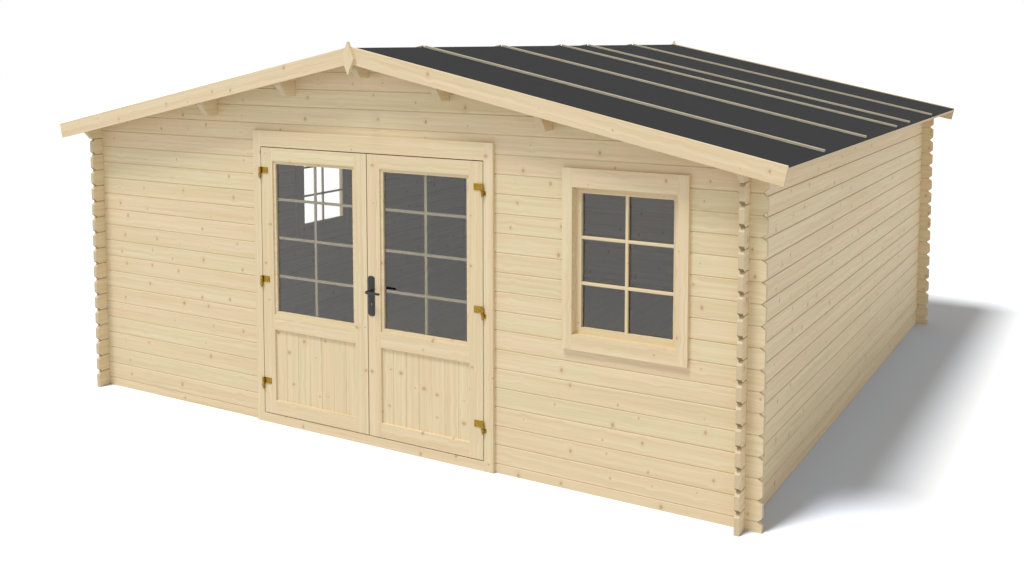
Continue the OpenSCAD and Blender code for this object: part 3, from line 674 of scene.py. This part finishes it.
class HOUSE_OT_glazing_bars(bpy.types.Operator):
    """Slim bars that divide the panes: behind the glass of the leaves, in front of it in the windows"""
    bl_idname = "house.glazing_bars"
    bl_label = "Glazing bars"

    def execute(self, context):
        size, look = context.scene.house_sizes, context.scene.house_colours
        behind = -(GLASS_T / 2 + BAR_CLEAR + size.door_bar_d / 2)
        for seed, side in ((27, "left"), (28, "right")):
            skins, middle = bars_over(f"{side}_door_glass", size.door_rows, BEAD_BEYOND_GLASS, OUT_FRONT,
                                      behind, size.door_bar_d, size.bar_w)
            # The leaves' bars get a grey of painted shade, for the shade behind the glass
            wood = spruce(f"Shadowed spruce, {side} leaf bars", 0, 2, seed, board=0.05, knot_size=0.004,
                          rails=(0, float(middle[0]), size.bar_w / 2), shading=tuple(look.bar_shade))
            piece(f"{side}_door_bars", skins, wood, f"{side}_door", smooth=40)
        before = GLASS_T / 2 + WINDOW_BAR_D / 2
        for seed, side, outward, axis in ((29, "front", OUT_FRONT, 0), (30, "side", OUT_LEFT, 1)):
            skins, middle = bars_over(f"{side}_window_glass", size.window_rows, 0.0, outward,
                                      before, WINDOW_BAR_D, size.bar_w)
            wood = spruce(f"Planed spruce, {side} window bars", axis, 2, seed, board=0.05, knot_size=0.004,
                          rails=(axis, float(middle[axis]), size.bar_w / 2))
            piece(f"{side}_window_bars", skins, wood, "house", smooth=40)
        return {"FINISHED"}


class HOUSE_OT_window_timber(bpy.types.Operator):
    """Planed spruce on the window frames and sashes, upright beside the pane and level over and under it"""
    bl_idname = "house.window_timber"
    bl_label = "Window timber"

    def execute(self, context):
        for seed, side, axis in ((31, "front", 0), (33, "side", 1)):
            low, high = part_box(f"{side}_window_sash")
            middle, half = (low[axis] + high[axis]) / 2, (high[axis] - low[axis]) / 2
            # One board of the pattern takes in a whole side of the frame
            frame_wood = spruce(f"Planed spruce, {side} window frame", 2, axis, seed, board=0.11,
                                start=low[axis] - 0.08, rails=(axis, middle, half), every=0.2)
            sash_wood = spruce(f"Planed spruce, {side} window sash", 2, axis, seed + 1, board=0.06,
                               start=low[axis], rails=(axis, middle, half - SASH_W), knot_size=0.005)
            dress(frame_wood, f"{side}_window_frame")
            dress(sash_wood, f"{side}_window_sash")
        return {"FINISHED"}


class HOUSE_OT_glass(bpy.types.Operator):
    """Clear float glass in the leaves and the windows"""
    bl_idname = "house.glass"
    bl_label = "Glass"

    def execute(self, context):
        dress(float_glass(), "left_door_glass", "right_door_glass", "front_window_glass",
              "side_window_glass")
        return {"FINISHED"}


class HOUSE_OT_hinges(bpy.types.Operator):
    """Brass on the hinges, and slotted screws: a low dome of revolution, cut down along its slot"""
    bl_idname = "house.hinges"
    bl_label = "Hinges"

    def execute(self, context):
        brass = pressed_brass()
        dress(brass, "left_door_hinges", "right_door_hinges", "hinge_pins")
        turn = np.linspace(0, 2 * np.pi, 24, endpoint=False)
        # Rings of the dome from its rim inwards, as shares of its radius
        share = np.array([1.0, 0.97, 0.85, 0.65, 0.45, 0.25, 0.08])[:, None]
        r = context.scene.house_sizes.screw_r * share
        # The slot is as deep as half its width and stops short of the rim
        in_slot = (np.abs(r * np.cos(turn)) < SCREW_SLOT) & (share < 0.9)
        h = np.maximum(SCREW_RISE * (1 - share ** 2) - SCREW_SLOT * in_slot, 0.0)
        middle_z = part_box("hinge_pins")[0].z + 1.5 * HINGE_H + HINGE_STEP
        for side, way in (("left", -1), ("right", 1)):
            low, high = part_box(f"{side}_door_hinges")
            plate_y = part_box(f"{side}_door_frame")[0].y - HINGE_PLATE_T
            inner = high.x if way < 0 else low.x
            skins = []
            for z in (low.z + HINGE_H / 2, middle_z, high.z - HINGE_H / 2):
                # Each hinge's slots stand at an angle of their own
                a, b = r * np.cos(turn + z * SLOT_TURN), r * np.sin(turn + z * SLOT_TURN)
                for place in SCREW_PLACES:
                    skins.append(loft(np.stack([inner + way * place + a, plate_y - h, z + b], -1)))
            piece(f"{side}_hinge_screws", skins, brass, f"{side}_door", smooth=30)
        return {"FINISHED"}


class HOUSE_OT_door_furniture(bpy.types.Operator):
    """Lock plates with rounded ends and a keyhole, and the levers: a round section carried along a bend"""
    bl_idname = "house.door_furniture"
    bl_label = "Door furniture"

    def execute(self, context):
        size = context.scene.house_sizes
        coat = powder_coat()
        plate_low, plate_high = (np.array(corner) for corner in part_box("lock_plates"))
        middle = (plate_low + plate_high) / 2
        a, b = (plate_high[0] - plate_low[0]) / 2, (plate_high[2] - plate_low[2]) / 2
        turn = (np.arange(PLATE_POINTS) + 0.5) * 2 * np.pi / PLATE_POINTS
        c, s = np.cos(turn), np.sin(turn)

        def outline(inset):
            """A circle's points, each pushed out to its own corner of the plate."""
            round_off = size.plate_r - inset
            return np.stack([np.sign(c) * (a - size.plate_r) + round_off * c,
                             np.sign(s) * (b - size.plate_r) + round_off * s], 1)

        # The keyhole: a circle with a slot of its own radius's width under it
        key = np.stack([KEYHOLE_R * c, KEYHOLE_R * s], 1)
        key[(np.abs(key[:, 0]) < KEYHOLE_R / 2) & (s < 0), 1] = -3 * KEYHOLE_R
        key[:, 1] -= KEYHOLE_DROP
        shapes = [(key, LOCK_PLATE_T), (key, 0.0)] + [(outline(inset), sunk) for inset, sunk in PLATE_EDGE]
        skins = []
        for face_y, way in ((plate_low[1], 1.0), (plate_high[1], -1.0)):
            rings = np.array([np.stack([middle[0] + shape[:, 0], np.full(PLATE_POINTS, face_y + way * sunk),
                                        middle[2] + shape[:, 1]], -1) for shape, sunk in shapes])
            skins.append(loft(rings if way < 0 else rings[::-1], wrap=True))
        piece("lock_plate_pair", skins, coat, "right_door", ["lock_plates"], smooth=30)

        low, high = (np.array(corner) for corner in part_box("lever_handle"))
        spindle = np.array([middle[0], (low[1] + high[1]) / 2, (low[2] + high[2]) / 2])
        r, bend = size.lever_r, size.lever_bend
        reach = high[0] - spindle[0]
        disc = rounded(2.0, 2.0, power=2, count=32)
        half = np.array([0.0, SPINDLE_HALF, 0.0])
        square = rounded(SPINDLE_W, SPINDLE_W, power=8, count=16)
        skins = [sweep(square, [spindle - half, spindle + half], UP)]
        for way, start, out in ((-1.0, plate_low[1] - NECK_GAP, low[1] + r),
                                (1.0, plate_high[1] + NECK_GAP, high[1] - r)):
            # Straight out of the plate, a quarter circle, then level to the tip, which closes as half an
            # ellipse
            arc = np.linspace(0, np.pi / 2, ARC_POINTS)
            neck = np.linspace(start, out - way * bend, NECK_POINTS, endpoint=False)
            grip = np.linspace(bend, reach, GRIP_POINTS + 1)[1:]
            x = np.concatenate([np.zeros(NECK_POINTS), bend * (1 - np.cos(arc)), grip])
            y = np.concatenate([neck, out - way * bend * (1 - np.sin(arc)), np.full(GRIP_POINTS, out)])
            path = np.stack([spindle[0] + x, y, np.full(len(x), spindle[2])], 1)
            run = np.gradient(path, axis=0)
            run /= np.linalg.norm(run, axis=1)[:, None]
            thick = r * (1 - LEVER_TAPER * np.clip((x - bend) / (reach - bend), 0, 1))
            tip = np.clip((x - (reach - r)) / r, 0, 0.999)
            skins.append(sweep(disc, path, np.cross(run, UP), thick * np.sqrt(1 - tip ** 2)))
        piece("lever_pair", skins, coat, "door_handle", ["lever_handle"], smooth=50)
        return {"FINISHED"}


class HOUSE_OT_stage(bpy.types.Operator):
    """White floor that takes the shadow, even sky, a soft sun, a second one that lights the floor alone, and
    the photograph's camera"""
    bl_idname = "house.stage"
    bl_label = "Stage"

    def execute(self, context):
        scene, light = context.scene, context.scene.house_light
        mesh = bpy.data.meshes.new("floor")
        half = FLOOR_HALF
        mesh.from_pydata([(-half, -half, 0), (half, -half, 0), (half, half, 0), (-half, half, 0)], [],
                         [(0, 1, 2, 3)])
        floor = bpy.data.objects.new("floor", mesh)
        scene.collection.objects.link(floor)
        material = bpy.data.materials.new("Matt white floor")
        tree = emptied(material)
        place = parted(tree, object_place(tree))
        # Painted: the seen floor beside the right wall is tinted bluer, against the warm light off the wood
        # in the shadow there
        across = ramp(tree, place[0], *TINT_ACROSS, 1.0, 0.0)
        along = ramp(tree, sums(tree, "ABSOLUTE", place[1]), *TINT_ALONG, 1.0, 0.0)
        near = sums(tree, "MULTIPLY", across, along)
        tint = mix(tree, near, rgba(light.floor_seen), rgba(light.floor_near))
        seen_apart(tree, "OutputMaterial", node(tree, "BsdfDiffuse", {"Color": rgba(light.floor)}),
                   node(tree, "BsdfDiffuse", {"Color": tint}))
        mesh.materials.append(material)

        world = bpy.data.worlds.new("sky")
        tree = emptied(world)
        white = (1.0, 1.0, 1.0, 1.0)
        seen_apart(tree, "OutputWorld", node(tree, "Background", {"Color": white, "Strength": light.sky}),
                   node(tree, "Background", {"Color": white, "Strength": 1.0}))
        scene.world = world

        floor_alone = bpy.data.collections.new("floor alone")
        floor_alone.objects.link(floor)
        for name, energy, lit in (("sun", light.sun, None), ("floor_sun", light.floor_sun, floor_alone)):
            lamp = bpy.data.lights.new(name, "SUN")
            lamp.energy, lamp.angle = energy, light.sun_angle
            sun = bpy.data.objects.new(name, lamp)
            sun.rotation_mode = "QUATERNION"
            sun.rotation_quaternion = Vector(light.sun_way).to_track_quat("-Z", "Y")
            sun.light_linking.receiver_collection = lit
            scene.collection.objects.link(sun)

        lens = bpy.data.cameras.new("camera")
        lens.sensor_width, lens.lens, lens.shift_y = SENSOR_W, LENS, SHIFT_Y
        camera = bpy.data.objects.new("camera", lens)
        camera.location = CAMERA_PLACE
        camera.rotation_euler = CAMERA_TURN
        scene.collection.objects.link(camera)
        scene.camera = camera
        scene.view_settings.view_transform = "Standard"
        return {"FINISHED"}


OPERATORS = (HOUSE_OT_log_walls, HOUSE_OT_roof_boards, HOUSE_OT_roof_cover, HOUSE_OT_roof_timber,
             HOUSE_OT_floor, HOUSE_OT_door_timber, HOUSE_OT_door_panels, HOUSE_OT_glazing_bars,
             HOUSE_OT_window_timber, HOUSE_OT_glass, HOUSE_OT_hinges, HOUSE_OT_door_furniture,
             HOUSE_OT_stage)


class HOUSE_PT_dressing(bpy.types.Panel):
    """Lists the steps that dress the house"""
    bl_idname = "HOUSE_PT_dressing"
    bl_label = "Garden house"
    bl_space_type = "VIEW_3D"
    bl_region_type = "UI"
    bl_category = "Garden house"

    def draw(self, context):
        for operator in OPERATORS:
            self.layout.operator(operator.bl_idname)


GROUPS = (("house_colours", GardenHouseColours), ("house_sizes", GardenHouseSizes),
          ("house_light", GardenHouseLight))


def register():
    for attribute, group in GROUPS:
        bpy.utils.register_class(group)
        setattr(bpy.types.Scene, attribute, PointerProperty(type=group))
    for made in (*OPERATORS, HOUSE_PT_dressing):
        bpy.utils.register_class(made)


def unregister():
    for made in reversed((*OPERATORS, HOUSE_PT_dressing)):
        bpy.utils.unregister_class(made)
    for attribute, group in reversed(GROUPS):
        delattr(bpy.types.Scene, attribute)
        bpy.utils.unregister_class(group)


def main():
    register()
    for operator in OPERATORS:
        family, name = operator.bl_idname.split(".")
        getattr(getattr(bpy.ops, family), name)()


if __name__ == "__main__":
    main()
